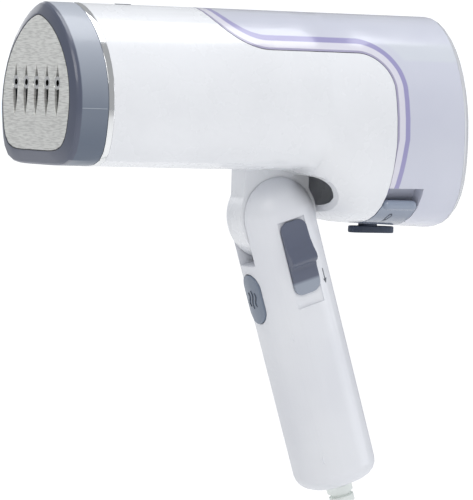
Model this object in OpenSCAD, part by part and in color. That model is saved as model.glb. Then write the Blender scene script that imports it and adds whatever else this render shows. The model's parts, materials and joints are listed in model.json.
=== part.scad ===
// Foldable hand-held garment steamer: a barrel with a steam head at the front and a slide-off
// water tank round its top and rear, hinged to a handle that folds forward under the barrel.
// Millimetres. +Z is up, the steam head faces -X, the tank slides off towards +X.
// The origin is the middle of the hand grip, on the handle's axis.

/* [Barrel] */
// Height of the top of the barrel above the fold pivot
barrel_top = 92; // [88:0.5:96]
// Height of the straight underside of the barrel above the fold pivot
barrel_under = 20.5; // [20:0.1:22]
// Half of the width of the barrel at its front
front_half = 37.5; // [34:0.5:40]
// Half of the width of the barrel at its rear
rear_half = 39; // [36:0.5:42]
// Where the rear end of the barrel lies behind the pivot
rear_x = 76.7; // [72:0.1:84]
// How far the belly behind the handle reaches below the pivot
belly_drop = 2.6; // [1:0.1:4]
// Thickness of the plastic walls
wall = 2.2; // [1.8:0.1:2.6]

/* [Steam head] */
// Where the face of the soleplate lies in front of the pivot
plate_x = 120.5; // [116:0.1:124]
// Half of the width of the soleplate
plate_half = 32.4; // [30:0.1:33]
// Height of the soleplate
plate_high = 59; // [54:0.5:60]
// Depth of the grey nose cover from its front edge to the chrome ring
nose_deep = 15; // [13:0.5:18]
// Depth of the chrome ring
ring_deep = 3; // [2:0.5:4]
// Distance between the steam slots
slot_pitch = 10.2; // [9:0.1:11]
// Length of a steam slot
slot_long = 22.8; // [18:0.1:26]
// Largest width of a steam slot
slot_wide = 4.2; // [3.6:0.1:5]

/* [Tank] */
// Height above the pivot of the level part of the seam between body and tank
seam_high = 74; // [72:0.5:76]
// Where the upright part of the seam lies behind the pivot
seam_x = 41.5; // [40:0.5:43]
// Gap between the tank and the body
tank_gap = 0.3; // [0.2:0.05:0.5]
// How far the clear end cap stands out behind the rear seam
cap_deep = 7; // [5:0.5:9]

/* [Handle] */
// Angle between the open handle and the upright
lean = 18; // [15:1:21]
// Length of the handle below the pivot
handle_long = 127.5; // [120:0.5:135]
// Half of the handle's size from front to back
handle_half_x = 19; // [18.6:0.1:19.2]
// Half of the handle's width
handle_half_y = 17.5; // [16.5:0.1:18]
// Distance from the pivot to the middle of the hand grip
grip_at = 75; // [65:1:85]
// Radius of the fold pivot pin
pin_r = 3; // [2.5:0.1:3.2]
// Radial running clearance of the pivot bush on its pin
pin_gap = 0.06; // [0.03:0.01:0.1]
// Half of the thickness of the hinge tongue
tongue_half = 6.5; // [6:0.1:6.6]
// Radius of the hinge tongue
tongue_r = 19.6; // [19:0.1:19.7]
// Side gap between the tongue and the handle
tongue_gap = 0.4; // [0.3:0.05:0.6]

/* [Controls] */
// Length of the steam button
button_long = 23; // [20:0.5:25]
// Width of the steam button
button_wide = 13; // [11:0.5:14]
// Distance from the pivot to the middle of the steam button
button_at = 34; // [33:0.5:38]
// Travel of the steam button
button_travel = 2; // [1:0.1:2.2]
// Length of the fold slider
slider_long = 34; // [30:0.5:35]
// Width of the fold slider
slider_wide = 13.4; // [12:0.1:14]
// Travel of the fold slider
slider_travel = 5; // [4:0.1:5]

/* [Cord] */
// Diameter of the mains cord
cord_d = 6.4; // [5:0.1:7]
// Length of the ribbed strain relief below the handle
relief_long = 34; // [30:1:40]
// Mean radius of the tied coil
coil_r = 38; // [36:1:42]

/* [Hidden] */

round_fn = 64;
hair = 0.05;
pivot_x = -grip_at * sin(lean);
pivot_z = grip_at * cos(lean);

ring_back = plate_x - 2 - nose_deep - ring_deep;
ring_front = ring_back + ring_deep;
nose_front = ring_front + nose_deep;
belly_back = belly_drop + 1.5;
plate_under = 27;
plate_top = plate_under + plate_high;
spigot_z = 24;
spigot_r = 4;
bay_back = 58;
bay_top = 14;
recess_deep = 5.7;
pump_z = 44;
slot_end = 18.5;
neck_front = 17.7;
neck_back = 15;
head_gap = 20.1;

function clamp01(t) = min(1, max(0, t));
function ease(t) = clamp01(t) * clamp01(t) * (3 - 2 * clamp01(t));
function mix(a, b, t) = a + (b - a) * t;

// ---- Cross-section of the barrel: an arch with a tight top and soft lower corners ----

upper_steps = 11;
lower_steps = 12;

// One point of the lower half, from the widest level (q = 0) round the corner to the bottom (q = 1)
function corner(q, power) =
  let (turn = pow(0.5, 1 / power))
  q < 0.5
    ? let (u = 2 * q * turn) [pow(1 - pow(u, power), 1 / power), u]
    : let (v = 2 * (1 - q) * turn) [v, pow(1 - pow(v, power), 1 / power)];

// Half outline as [y, z]: soft is 0 for the pointed front section and 1 for the round rear one
function half_arch(half, top, under, soft) =
  let (
    high = top - under,
    waist = mix(0.64, 0.57, soft),
    point = mix(1.3, 1.02, soft),
    power = mix(6, 2.9, soft),
    tuck = mix(0.13, 0, soft)
  )
  concat(
    [for (k = [0:upper_steps])
      let (a = 90 * k / upper_steps)
      [half * pow(sin(a), point), top - waist * high * (1 - cos(a))]],
    [for (k = [1:lower_steps])
      let (c = corner(k / lower_steps, power))
      [half * c[0] * (1 - tuck * pow(c[1], 1.5)), top - high * (waist + (1 - waist) * c[1])]]
  );

function arch(half, top, under, soft = 0) =
  let (side = half_arch(half, top, under, soft), last = len(side) - 1)
  concat(side, [for (k = [last - 1:-1:1]) [-side[k][0], side[k][1]]]);

function arch_ring(x, half, top, under, soft = 0) =
  [for (p = arch(half, top, under, soft)) [x, p[0], p[1]]];

// Closed solid through rings that all have the same number of points
module loft(rings) {
  n = len(rings[0]);
  last = len(rings) - 1;
  points = [for (ring = rings) for (p = ring) p];
  sides = [
    for (i = [0:last - 1]) for (k = [0:n - 1])
      let (a = i * n + k, b = i * n + (k + 1) % n)
      each [[a, b, b + n], [a, b + n, a + n]]
  ];
  front = [for (k = [1:n - 2]) [0, k + 1, k]];
  rear = [for (k = [1:n - 2]) [last * n, last * n + k, last * n + k + 1]];
  polyhedron(points, concat(sides, front, rear), convexity = 6);
}

// Prism of the arch section between two places along the barrel
module arch_prism(from, to, half, top, under) {
  translate([from, 0, 0])
    rotate([90, 0, 90])
      linear_extrude(to - from)
        polygon(arch(half, top, under));
}

// ---- Outer form of the barrel ----

stations = [
  for (x = [-ring_back, -40, -14, 0, 6, 9, 12, 15, 18, 21, 24, 28, 33, 40, 54, rear_x]) x
];

function barrel_soft(x) = ease((x + 60) / 110);
function barrel_half(x) = mix(front_half, rear_half, (x + ring_back) / (rear_x + ring_back));
function belly(x) =
  let (t = clamp01((x - 5) / 30))
  mix(barrel_under, -belly_drop, 1 - pow(1 - t, 2.2)) - 1.5 * clamp01((x - 33) / 44);

function barrel_ring(x, inset) =
  arch_ring(x, barrel_half(x) - inset, barrel_top - inset, belly(x) + inset, barrel_soft(x));

// The barrel's solid form, its wall moved inwards by inset and its ends moved outwards by over
module barrel(inset = 0, over = 0) {
  last = len(stations) - 1;
  loft([
    for (i = [0:last])
      let (x = stations[i], shift = i == 0 ? -over : i == last ? over : 0)
      [for (p = barrel_ring(x, inset)) p + [shift, 0, 0]]
  ]);
}

// Side outline of the body in front of the tank, moved inwards by inset
module body_outline(inset = 0) {
  corner_r = 16;
  sweep_r = 26;
  swoop_x = -19;
  foot_x = seam_x - 7;
  difference() {
    union() {
      hull() {
        translate([-200, -60]) square([1, 60 + seam_high - inset]);
        translate([seam_x - corner_r, seam_high - corner_r])
          circle(r = corner_r - inset, $fn = round_fn);
        translate([seam_x - corner_r - 1, 50 - corner_r])
          circle(r = corner_r + 1 - inset, $fn = round_fn);
        translate([foot_x - 20 - inset, -60]) square([19, 40]);
      }
      translate([-200, 0]) square([200 + swoop_x, 200]);
    }
    translate([swoop_x, seam_high + sweep_r])
      circle(r = sweep_r + inset, $fn = 96);
    translate([swoop_x - sweep_r, seam_high + sweep_r]) square([200, 200]);
    translate([swoop_x, seam_high - inset]) square([200, 200]);
  }
}

// The space in front of the tank's seam, across the whole width
module body_zone(inset = 0) {
  rotate([90, 0, 0])
    linear_extrude(200, center = true)
      body_outline(inset);
}

// The space behind the tank's seam, moved inwards by inset
module tank_zone(inset = 0) {
  rotate([90, 0, 0])
    linear_extrude(200, center = true)
      difference() {
        translate([-60, -20]) square([200, 200]);
        body_outline(-inset);
      }
}

// Everything on one side of the middle plane: side is -1 for the left half, 1 for the right half
module half_space(side) {
  translate([-200, side < 0 ? -100 : 0, -200]) cube([400, 100, 400]);
}

// Room that the handle's head and grip need under the barrel
module handle_room() {
  rotate([90, 0, 0]) cylinder(r = head_gap, h = 200, center = true, $fn = 96);
  rotate([0, -lean, 0])
    translate([-head_gap, -100, -120]) cube([2 * head_gap, 200, 120]);
}

// Moves the children from the pivot's frame to the part's frame
module at_pivot() {
  translate([pivot_x, 0, pivot_z]) children();
}

// Moves the children to the handle's own frame: its axis is Z, and its front faces -X
module on_handle() {
  at_pivot() rotate([0, -lean, 0]) children();
}

// Cylinder along X or Y between two places
module bar_x(from, to, r) {
  translate([from, 0, 0]) rotate([0, 90, 0]) cylinder(r = r, h = to - from, $fn = round_fn);
}

module bar_y(from, to, r) {
  translate([0, from, 0]) rotate([-90, 0, 0]) cylinder(r = r, h = to - from, $fn = round_fn);
}

// Ring along X with a plain round hole
module ring_x(from, to, outer, inner) {
  difference() {
    bar_x(from, to, outer);
    bar_x(from - 1, to + 1, inner);
  }
}

// Ring along Y with a plain round hole
module ring_y(from, to, outer, inner) {
  difference() {
    bar_y(from, to, outer);
    bar_y(from - 1, to + 1, inner);
  }
}

function unit(v) = v / norm(v);

// Round tube swept along route points, as one closed solid
module swept_tube(route, d, sides) {
  count = len(route);
  dirs = [
    for (i = [0:count - 1])
      unit(route[min(i + 1, count - 1)] - route[max(i - 1, 0)])
  ];
  rings = [
    for (i = [0:count - 1])
      let (across = unit(cross(dirs[i], [0.02, 1, 0.03])), up = cross(across, dirs[i]))
      [for (k = [0:sides - 1])
        let (a = 360 * k / sides)
        route[i] + d / 2 * (cos(a) * across + sin(a) * up)]
  ];
  loft(rings);
}

// Smooth points through hand-picked route points, with steps points to each stretch
function curve_point(p0, p1, p2, p3, t) =
  0.5 * (2 * p1 + (p2 - p0) * t + (2 * p0 - 5 * p1 + 4 * p2 - p3) * t * t
    + (3 * p1 - p0 - 3 * p2 + p3) * t * t * t);

function smooth_route(points, steps) =
  let (last = len(points) - 1)
  concat(
    [for (i = [0:last - 1]) for (s = [0:steps - 1])
      curve_point(points[max(i - 1, 0)], points[i], points[i + 1], points[min(i + 2, last)],
        s / steps)],
    [points[last]]
  );

// Coil spring along Z from 0 to long
module spring(r, long, turns, wire) {
  steps = 9;
  swept_tube(
    [for (i = [0:turns * steps]) let (a = 360 * i / steps)
      [r * cos(a), r * sin(a), wire / 2 + (long - wire) * i / (turns * steps)]],
    wire, 6
  );
}

// ---- Barrel shells ----

// Hinge tongue and the neck that joins it to the barrel
module tongue() {
  bar_y(-tongue_half, tongue_half, tongue_r);
  translate([-neck_front, -tongue_half, 0])
    cube([neck_front + neck_back, 2 * tongue_half, barrel_under + wall]);
}

// Bosses that the two shells are screwed together through
boss_x = [-72, 8];
boss_z = 27;

module body_shell(side) {
  difference() {
    union() {
      difference() {
        intersection() {
          barrel();
          body_zone();
          half_space(side);
        }
        intersection() {
          barrel(wall, 1);
          body_zone(wall);
        }
        handle_room();
      }
      intersection() {
        tongue();
        half_space(side);
      }
      intersection() {
        for (x = boss_x)
          translate([x, 0, boss_z])
            if (side < 0) bar_y(-60, -0.1, 3.4);
            else bar_y(0, 60, 3.4);
        barrel(wall / 2);
      }
    }
    bar_y(-50, 50, pin_r + 1.8);
    for (x = boss_x)
      translate([x, 0, boss_z]) {
        bar_y(-24, 30, 1.3);
        bar_y(12, 60, 2.9);
      }
    translate([indicator_x, 0, barrel_top - 6]) indicator_hole(0.15);
    translate([0, 0, spigot_z]) bar_x(24, 60, spigot_r + 0.1);
  }
}

module body_shell_left() {
  color("white") at_pivot() body_shell(-1);
}

module body_shell_right() {
  color("white") at_pivot() body_shell(1);
}

indicator_x = -79;
indicator_long = 8;
indicator_wide = 1.6;

module indicator_hole(extra) {
  hull()
    for (end = [-1, 1])
      translate([end * (indicator_long - indicator_wide) / 2, 0, 0])
        cylinder(d = indicator_wide + 2 * extra, h = 10, $fn = 24);
}

module indicator_lens() {
  color("silver")
    at_pivot()
      translate([indicator_x, 0, barrel_top - 4])
        hull()
          for (end = [-1, 1])
            translate([end * (indicator_long - indicator_wide) / 2, 0, 0])
              cylinder(d = indicator_wide, h = 4.25, $fn = 24);
}

// Screws that hold the two barrel shells together, put in from the right
module body_screws() {
  color("silver")
    at_pivot()
      for (x = boss_x)
        translate([x, 0, boss_z]) {
          bar_y(-18, 12.1, 1.25);
          difference() {
            bar_y(12.1, 14.3, 2.6);
            translate([-0.4, 13.3, -1.8]) cube([0.8, 2, 3.6]);
            translate([-1.8, 13.3, -0.4]) cube([3.6, 2, 0.8]);
          }
        }
}

module pivot_bush() {
  color("gold")
    at_pivot()
      ring_y(-tongue_half, tongue_half, pin_r + 1.78, pin_r + pin_gap);
}

// ---- Steam head ----

module front_ring() {
  color("silver")
    at_pivot()
      difference() {
        arch_prism(-ring_front + hair, -ring_back - hair,
          front_half + 0.1, barrel_top + 0.1, barrel_under - 0.1);
        arch_prism(-ring_front - 1, -ring_back + 1,
          front_half - wall, barrel_top - wall, barrel_under + wall);
      }
}

module nose_cover() {
  color("slategray")
    at_pivot()
      difference() {
        loft([
          arch_ring(-nose_front - 1.9, plate_half + 0.9, plate_top + 0.9, plate_under - 0.9),
          arch_ring(-nose_front - 0.3, front_half - 0.7, barrel_top - 0.8, barrel_under + 0.8),
          arch_ring(-nose_front + 0.4, front_half - 0.2, barrel_top - 0.2, barrel_under + 0.2),
          arch_ring(-nose_front + 1.4, front_half, barrel_top, barrel_under),
          arch_ring(-ring_front, front_half, barrel_top, barrel_under)
        ]);
        arch_prism(-nose_front - 5, -plate_x + 1.55, plate_half + 0.3, plate_top + 0.3,
          plate_under - 0.3);
        arch_prism(-plate_x, -nose_front + 2, plate_half - 1.6, plate_top - 1.8,
          plate_under + 1.8);
        arch_prism(-nose_front + 1.9, -ring_front + 1, front_half - wall, barrel_top - wall,
          barrel_under + wall);
      }
}

slot_y = [for (i = [-2:2]) i * slot_pitch];
slot_mid = 53;
eyelet_z = 56.4;

// Leaf-shaped slot: the overlap of two circles through its tips
module leaf(long, wide) {
  r = (long * long + wide * wide) / (4 * wide);
  intersection() {
    translate([r - wide / 2, 0]) circle(r = r, $fn = 96);
    translate([wide / 2 - r, 0]) circle(r = r, $fn = 96);
  }
}

module soleplate() {
  color("gainsboro")
    at_pivot()
      translate([-plate_x, 0, 0])
        rotate([90, 0, 90])
          linear_extrude(1.5)
            difference() {
              polygon(arch(plate_half, plate_top, plate_under));
              for (y = slot_y) {
                translate([y, slot_mid]) leaf(slot_long, slot_wide);
                translate([y, eyelet_z]) circle(r = 3.1, $fn = round_fn);
              }
            }
}

// Five chrome eyelets that the steam leaves through, joined to the heater block
module steam_nozzles() {
  color("silver")
    at_pivot()
      for (y = slot_y)
        translate([0, y, eyelet_z]) {
          ring_x(-plate_x + 0.4, -plate_x + 1.5, 2.9, 1.4);
          ring_x(-plate_x + 1.5, -heater_front - hair, 2.1, 1.4);
        }
}

heater_front = 116;
heater_back = 94;
feed_z = 58;

module heater_block() {
  color("darkgray")
    at_pivot()
      difference() {
        union() {
          arch_prism(-heater_front, -heater_back, 27, 81, 32);
          arch_prism(-heater_back - 9, -heater_back - 5, 30.5, 84.5, 28.5);
        }
        for (y = slot_y)
          translate([0, y, eyelet_z]) bar_x(-heater_front - 1, -heater_front + 12, 1.4);
        translate([0, 0, feed_z]) bar_x(-heater_back - 10, -heater_back + 1, 2.6);
      }
}

// U-shaped heating element on the back of the heater block, with its two terminals
module heating_element() {
  color("dimgray")
    at_pivot()
      translate([-heater_back + 3.3, 0, 50])
        rotate([90, 0, 90]) {
          rotate_extrude(angle = 180, $fn = round_fn)
            translate([15, 0]) circle(r = 3.2, $fn = 32);
          for (side = [-1, 1])
            translate([side * 15, 0, 0]) {
              rotate([90, 0, 0]) cylinder(r = 3.2, h = 8, $fn = 32);
              translate([0, -8, 0]) rotate([90, 0, 0]) cylinder(r = 1.4, h = 6, $fn = 32);
            }
        }
}

// Plastic frame that carries the heater block inside the nose cover
module heater_frame() {
  color("ivory")
    at_pivot()
      difference() {
        arch_prism(-heater_back - 14, -heater_back - 9.1, front_half - wall - 0.3,
          barrel_top - wall - 0.3, barrel_under + wall + 0.3);
        arch_prism(-heater_back - 20, -heater_back, 27.4, 81.4, 31.6);
      }
}

module thermostat() {
  color("silver")
    at_pivot()
      translate([0, 0, 46]) {
        bar_x(-heater_back + hair, -heater_back + 6, 8);
        for (side = [-1, 1])
          translate([-heater_back + 6, side * 4 - 1.5, -0.4]) cube([6, 3, 0.8]);
      }
}

module thermal_fuse() {
  color("tan")
    at_pivot()
      translate([-heater_back + 2.2, 0, 75]) {
        bar_y(-5.5, 5.5, 2);
        bar_y(-12, 12, 0.5);
      }
}

module heater_screws() {
  color("silver")
    at_pivot()
      for (p = [[-19, 38], [19, 38], [0, 79]])
        translate([0, p[0], p[1]])
          bar_x(-heater_back + hair, -heater_back + 2.4, p[0] == 0 ? 0.9 : 1.9);
}

// ---- Pump, hoses and control board ----

module steam_pump() {
  color("dimgray")
    at_pivot()
      translate([0, 0, pump_z]) {
        bar_x(-26, 10, 11.5);
        bar_x(10, 20, 9);
        bar_x(20, 26, 2.6);
        bar_x(-32, -26, 2.6);
      }
}

inlet_route = [[26.1, 0, 44], [26.9, 0, 44], [29, 0, 42.9], [30.3, 0, 40.6], [30.8, 0, 37],
  [30.8, 0, 29.3]];
outlet_route = [[-32.1, 0, 44], [-40, 0, 44.3], [-50, 0, 48], [-60, 0, 54], [-72, 0, 57.6],
  [-84, 0, feed_z], [-93.9, 0, feed_z]];

module inlet_hose() {
  color("lightcyan")
    at_pivot()
      swept_tube(inlet_route, 4.6, 10);
}

module outlet_hose() {
  color("lightcyan") at_pivot() swept_tube(smooth_route(outlet_route, 3), 4.8, 10);
}

module control_board() {
  color("seagreen")
    at_pivot()
      translate([-66, -17, 66]) {
        cube([56, 34, 1.6]);
        translate([6, 21, -9]) cube([16, 12, 9]);
        translate([30, 17, -12]) cylinder(r = 5, h = 12, $fn = 32);
        translate([40, 6, -6]) cube([10, 8, 6]);
      }
}

// Water connection on the body that the tank's valve slides onto
module tank_spigot() {
  color("white")
    at_pivot()
      translate([0, 0, spigot_z]) {
        ring_x(32, 47, spigot_r, 1.6);
        translate([30.8, 0, 0]) bar_x(-2.6, 1.2, 4.9);
        translate([30.8, 0, 0]) cylinder(r = 2.4, h = 5.2, $fn = round_fn);
      }
}

module spigot_seal() {
  color("black")
    at_pivot()
      translate([43, 0, spigot_z])
        rotate([0, 90, 0])
          rotate_extrude($fn = round_fn)
            translate([spigot_r + 0.25, 0]) square([0.3, 1.2], center = true);
}

// ---- Water tank ----

// Room at the tank's lower front for the two latches and the filler plug
module latch_bay(extra = 0) {
  translate([20, -60, -20])
    cube([bay_back - 20 + extra, 120, 20 + bay_top + extra]);
}

module tank_shell() {
  lip = 2;
  color("lavender")
    at_pivot()
      difference() {
        union() {
          difference() {
            intersection() {
              barrel();
              tank_zone(tank_gap);
            }
            difference() {
              intersection() {
                barrel(lip, 1);
                tank_zone(tank_gap + lip);
              }
              latch_bay(lip);
            }
            latch_bay();
          }
          difference() {
            intersection() {
              barrel(recess_deep);
              tank_zone(tank_gap);
              for (side = [-1, 1])
                translate([20, side < 0 ? -60 : 19, 4]) cube([bay_back - 19, 41, bay_top - 3]);
            }
            barrel(recess_deep + 1.8, 1);
          }
          difference() {
            intersection() {
              barrel();
              tank_zone(tank_gap);
              translate([20, -6.4, -20]) cube([bay_back - 19, 12.8, 22]);
            }
            barrel(lip, 1);
          }
          translate([50.5, 0, -3]) cylinder(r = 6.2, h = bay_top + 4, $fn = round_fn);
        }
        translate([50.5, 0, -10]) cylinder(r = 4.6, h = bay_top + 16, $fn = round_fn);
        translate([0, 0, spigot_z]) bar_x(30, 60, 7.3);
      }
}

cap_steps = 7;

// Clear end cap: it carries the barrel's rear section on to a soft dome
module tank_end_cap() {
  color("whitesmoke")
    at_pivot()
      difference() {
        loft([
          for (k = [0:cap_steps])
            let (
              a = 86 * k / cap_steps,
              s = pow(cos(a), 0.42),
              x = rear_x + 0.1 + cap_deep * pow(sin(a), 1.1),
              mid = (barrel_top - belly_back) / 2
            )
            arch_ring(x, rear_half * s, mid + (barrel_top - mid) * s,
              mid - (mid + belly_back) * s, 1)
        ]);
        loft([
          for (k = [0:cap_steps])
            let (
              a = 86 * k / cap_steps,
              s = pow(cos(a), 0.42),
              x = rear_x - 0.2 + (cap_deep - 1.8) * pow(sin(a), 1.1),
              mid = (barrel_top - belly_back) / 2
            )
            arch_ring(x, (rear_half - 2) * s, mid + (barrel_top - 2 - mid) * s,
              mid - (mid + belly_back - 2) * s, 1)
        ]);
      }
}

module tank_valve_seat() {
  color("white")
    at_pivot()
      translate([0, 0, spigot_z]) {
        difference() {
          intersection() {
            bar_x(34, 60, 7.2);
            translate([0, 0, -spigot_z]) tank_zone(2 * tank_gap);
          }
          bar_x(33, 52, spigot_r + 0.5);
          bar_x(51, 62, 3);
        }
      }
}

module valve_plunger() {
  color("black")
    at_pivot()
      translate([0, 0, spigot_z]) {
        bar_x(47.4, 50.6, 4);
        bar_x(50.6, 63, 1.4);
        bar_x(63, 64.4, 3.6);
      }
}

module valve_spring() {
  color("silver")
    at_pivot()
      translate([50.8, 0, spigot_z])
        rotate([0, 90, 0]) spring(2.3, 12, 5, 0.7);
}

ridge_front = 42.4;
ridge_y = 30.4;
ridge_z = 6.4;

// Release latch: a skin panel of the belly with a raised grip ridge along its top edge
module latch(side) {
  difference() {
    intersection() {
      barrel();
      tank_zone(2 * tank_gap);
      translate([20, side < 0 ? -60 : 9, -20]) cube([bay_back - 20.4, 51, 26]);
    }
    barrel(2, 1);
  }
  translate([46, side < 0 ? -17.7 : 16.2, -1.2]) cube([9, 1.5, 8.1]);
  hull()
    for (x = [ridge_front, bay_back - 3])
      translate([x, side * ridge_y, ridge_z]) sphere(r = 2.3, $fn = 24);
}

module tank_latch_left() {
  color("lightsteelblue") at_pivot() latch(-1);
}

module tank_latch_right() {
  color("lightsteelblue") at_pivot() latch(1);
}

// The springs that push the latches outwards, standing on the filler neck
module latch_springs() {
  color("silver")
    at_pivot()
      for (side = [-1, 1])
        translate([50.5, side * 6.3, 4])
          rotate([-side * 90, 0, 0]) spring(2.4, 7.7, 4, 0.7);
}

module filler_plug() {
  color("darkslategray")
    at_pivot() {
      translate([50.5, 0, -6]) cylinder(r = 4.3, h = 18.9, $fn = round_fn);
      hull()
        for (x = [45.5, 59])
          translate([x, 0, -7.3]) cylinder(r = 4.6, h = 3.1, $fn = 40);
    }
}

// ---- Handle ----

oval_points = 44;
bottom_round = 8;
cavity_top = -22.5;
board_top = -60;
board_bottom = -101;
grip_screws = [[-9, -54], [-9, -112]];

function signed_pow(v, power) = sign(v) * pow(abs(v), power);

function oval_ring(z, half_x, half_y, power) =
  [for (k = [0:oval_points - 1])
    let (a = 360 * k / oval_points)
    [half_x * signed_pow(cos(a), 2 / power), half_y * signed_pow(sin(a), 2 / power), z]];

// Outer form of the handle with its ball head, moved inwards by inset
module handle_form(inset = 0) {
  half_x = handle_half_x - inset;
  half_y = handle_half_y - inset;
  round_r = bottom_round - inset;
  straight_end = -handle_long + bottom_round;
  loft(concat(
    [for (a = [86, 74, 60, 46, 32, 18, 6])
      oval_ring(half_x * sin(a), half_x * cos(a), half_y * cos(a), mix(2.4, 2, sin(a)))],
    [for (z = [-30, -80, straight_end])
      oval_ring(z, half_x * (1 + z / 5000), half_y * (1 + z / 5000), 2.4)],
    [for (a = [18, 36, 54, 72, 90])
      let (in = round_r * (1 - cos(a)) + handle_long / 5000 * half_x)
      oval_ring(straight_end - round_r * sin(a), half_x - in, half_y - in, 2.4)]
  ));
}

// Stadium-shaped block along X with the controls' upright outline
module stadium_x(from, to, long, wide) {
  translate([from, 0, 0])
    rotate([90, 0, 90])
      linear_extrude(to - from)
        hull()
          for (end = [-1, 1])
            translate([0, end * (long - wide) / 2]) circle(d = wide, $fn = 48);
}

// Room in the handle's head for the hinge tongue and, when folded, for the neck
module tongue_slot() {
  side = tongue_half + tongue_gap;
  bar_y(-side, side, tongue_r + 0.6);
  translate([-30, -side, -slot_end]) cube([30, 2 * side, slot_end + 30]);
}

module handle_shell(side) {
  difference() {
    union() {
      difference() {
        intersection() {
          handle_form();
          half_space(side);
        }
        intersection() {
          handle_form(wall);
          translate([-50, -50, -200]) cube([100, 100, 200 + cavity_top]);
        }
      }
      intersection() {
        union() {
          translate([-3, -15.2, -48]) cube([14, 30.4, 2]);
          for (p = grip_screws)
            translate([p[0], 0, p[1]]) bar_y(-14.6, 14.6, 3.4);
        }
        half_space(side);
      }
    }
    tongue_slot();
    bar_y(-12.95, 12.95, pin_r + 1.8);
    translate([0.3, -5.3, -26]) cube([7.4, 10.6, 10]);
    translate([0, 0, -button_at])
      stadium_x(-30, -14, button_long + 0.7, button_wide + 0.7);
    translate([0, 0, -button_at])
      stadium_x(-15, -11.5, button_long + 3.2, button_wide + 3.2);
    translate([-slider_wide / 2 - 0.3, -40, -slider_long - slider_travel - 2.6])
      cube([slider_wide + 0.6, 40 - 16.2, slider_long + slider_travel + 1.3]);
    translate([1.4, -30, -34.8]) cube([5.2, 30, 11.9]);
    translate([0, 0, -handle_long - 5]) cylinder(r = 4.9, h = 12, $fn = round_fn);
    for (p = grip_screws)
      translate([p[0], 0, p[1]]) {
        bar_y(-11, 30, 1.3);
        bar_y(8, 30, 2.7);
      }
  }
}

module handle_shell_left() {
  color("white") on_handle() handle_shell(-1);
}

module handle_shell_right() {
  color("white") on_handle() handle_shell(1);
}

module pivot_pin() {
  color("silver") at_pivot() bar_y(-12.9, 12.9, pin_r);
}

module ear_bushes() {
  color("gold")
    at_pivot()
      for (side = [-1, 1])
        ring_y(side < 0 ? -12.9 : tongue_half + tongue_gap,
          side < 0 ? -tongue_half - tongue_gap : 12.9, pin_r + 1.78, pin_r + 0.02);
}

module handle_screws() {
  color("silver")
    on_handle()
      for (p = grip_screws)
        translate([p[0], 0, p[1]]) {
          bar_y(-10, 8.1, 1.25);
          difference() {
            bar_y(8.1, 10.3, 2.4);
            translate([-0.4, 9.4, -1.7]) cube([0.8, 2, 3.4]);
            translate([-1.7, 9.4, -0.4]) cube([3.4, 2, 0.8]);
          }
        }
}

// ---- Fold slider and hinge lock ----

// Side profile of the slider: [height along the handle, how far it stands out]
slider_profile = [[-2, 1.7], [-7, 1.8], [-12, 2.3], [-16, 3.6], [-18.5, 4.9], [-20.5, 5.1],
  [-21.8, 4.2], [-22.8, 2.6], [-24.5, 2.1], [-31, 2.1], [-36, 0.8]];

module fold_slider() {
  corner_r = 4.2;
  seat_y = -16.3;
  color("slategray")
    on_handle() {
      intersection() {
        translate([-slider_wide / 2, 0, 0])
          rotate([90, 0, 90])
            linear_extrude(slider_wide)
              polygon(concat(
                [[seat_y, -2 - slider_long], [seat_y, -2]],
                [for (p = slider_profile) [seat_y - p[1], p[0] * (slider_long + 2) / 36]]
              ));
        rotate([90, 0, 0])
          linear_extrude(60)
            hull()
              for (x = [-1, 1]) for (z = [-2 - corner_r, -2 - slider_long + corner_r])
                translate([x * (slider_wide / 2 - corner_r), z]) circle(r = corner_r, $fn = 32);
      }
      translate([1.8, seat_y - 0.4, -29.3]) cube([4.4, -5.05 - seat_y + 0.4, 6]);
    }
}

// Pawl that the slider pulls out of the tongue's path
module lock_pawl() {
  color("silver")
    on_handle()
      difference() {
        translate([0.6, -5, -30.5]) cube([6.8, 10, 13]);
        bar_y(-10, 10, tongue_r + 0.3);
      }
}

module slider_spring() {
  color("silver") on_handle() translate([4, 0, -45.9]) spring(2.6, 9.6, 5, 0.8);
}

// ---- Steam button ----

module steam_button() {
  color("lightslategray")
    on_handle()
      translate([0, 0, -button_at]) {
        intersection() {
          translate([0, 0, button_at]) handle_form(-0.8);
          stadium_x(-30, -14.8, button_long, button_wide);
        }
        stadium_x(-14.9, -13.9, button_long + 2.6, button_wide + 2.6);
        bar_x(-14, -12.8, 2.6);
      }
}

module button_spring() {
  color("silver")
    on_handle()
      translate([-11.7, 0, -button_at])
        rotate([0, 90, 0]) spring(3.6, 3.2, 3, 0.6);
}

module micro_switch() {
  color("black")
    on_handle() {
      translate([-8.4, -3, -button_at - 6.4]) cube([6.4, 6, 12.8]);
      translate([0, 0, -button_at]) bar_x(-10.3, -8.4, 1.4);
    }
}

// ---- Electrics in the handle ----

module handle_board() {
  color("seagreen")
    on_handle()
      translate([5, -11, board_bottom]) {
        cube([1.6, 22, board_top - board_bottom]);
        translate([-7, 4, 17]) cube([7, 12, 14]);
        translate([-5, 7, 12]) rotate([0, 90, 0]) cylinder(r = 4, h = 5, $fn = 32);
      }
}

module wire_terminal() {
  color("ivory")
    on_handle()
      difference() {
        translate([-3, -8, -58]) cube([7, 16, 8]);
        for (y = [-5, 0, 5])
          translate([0.5, y, -59]) cylinder(r = 1.5, h = 10, $fn = 24);
      }
}

wire_y = [-5, 0, 5];

module handle_wires() {
  color("firebrick")
    on_handle()
      for (y = wire_y)
        swept_tube(
          smooth_route([[0.5, y * 0.5, -104], [-3, y * 0.6, -96], [-5.5, y * 0.8, -84],
            [-5, y, -72], [-1.5, y, -64], [0.5, y, -58.2]], 2),
          2, 8
        );
}

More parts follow.
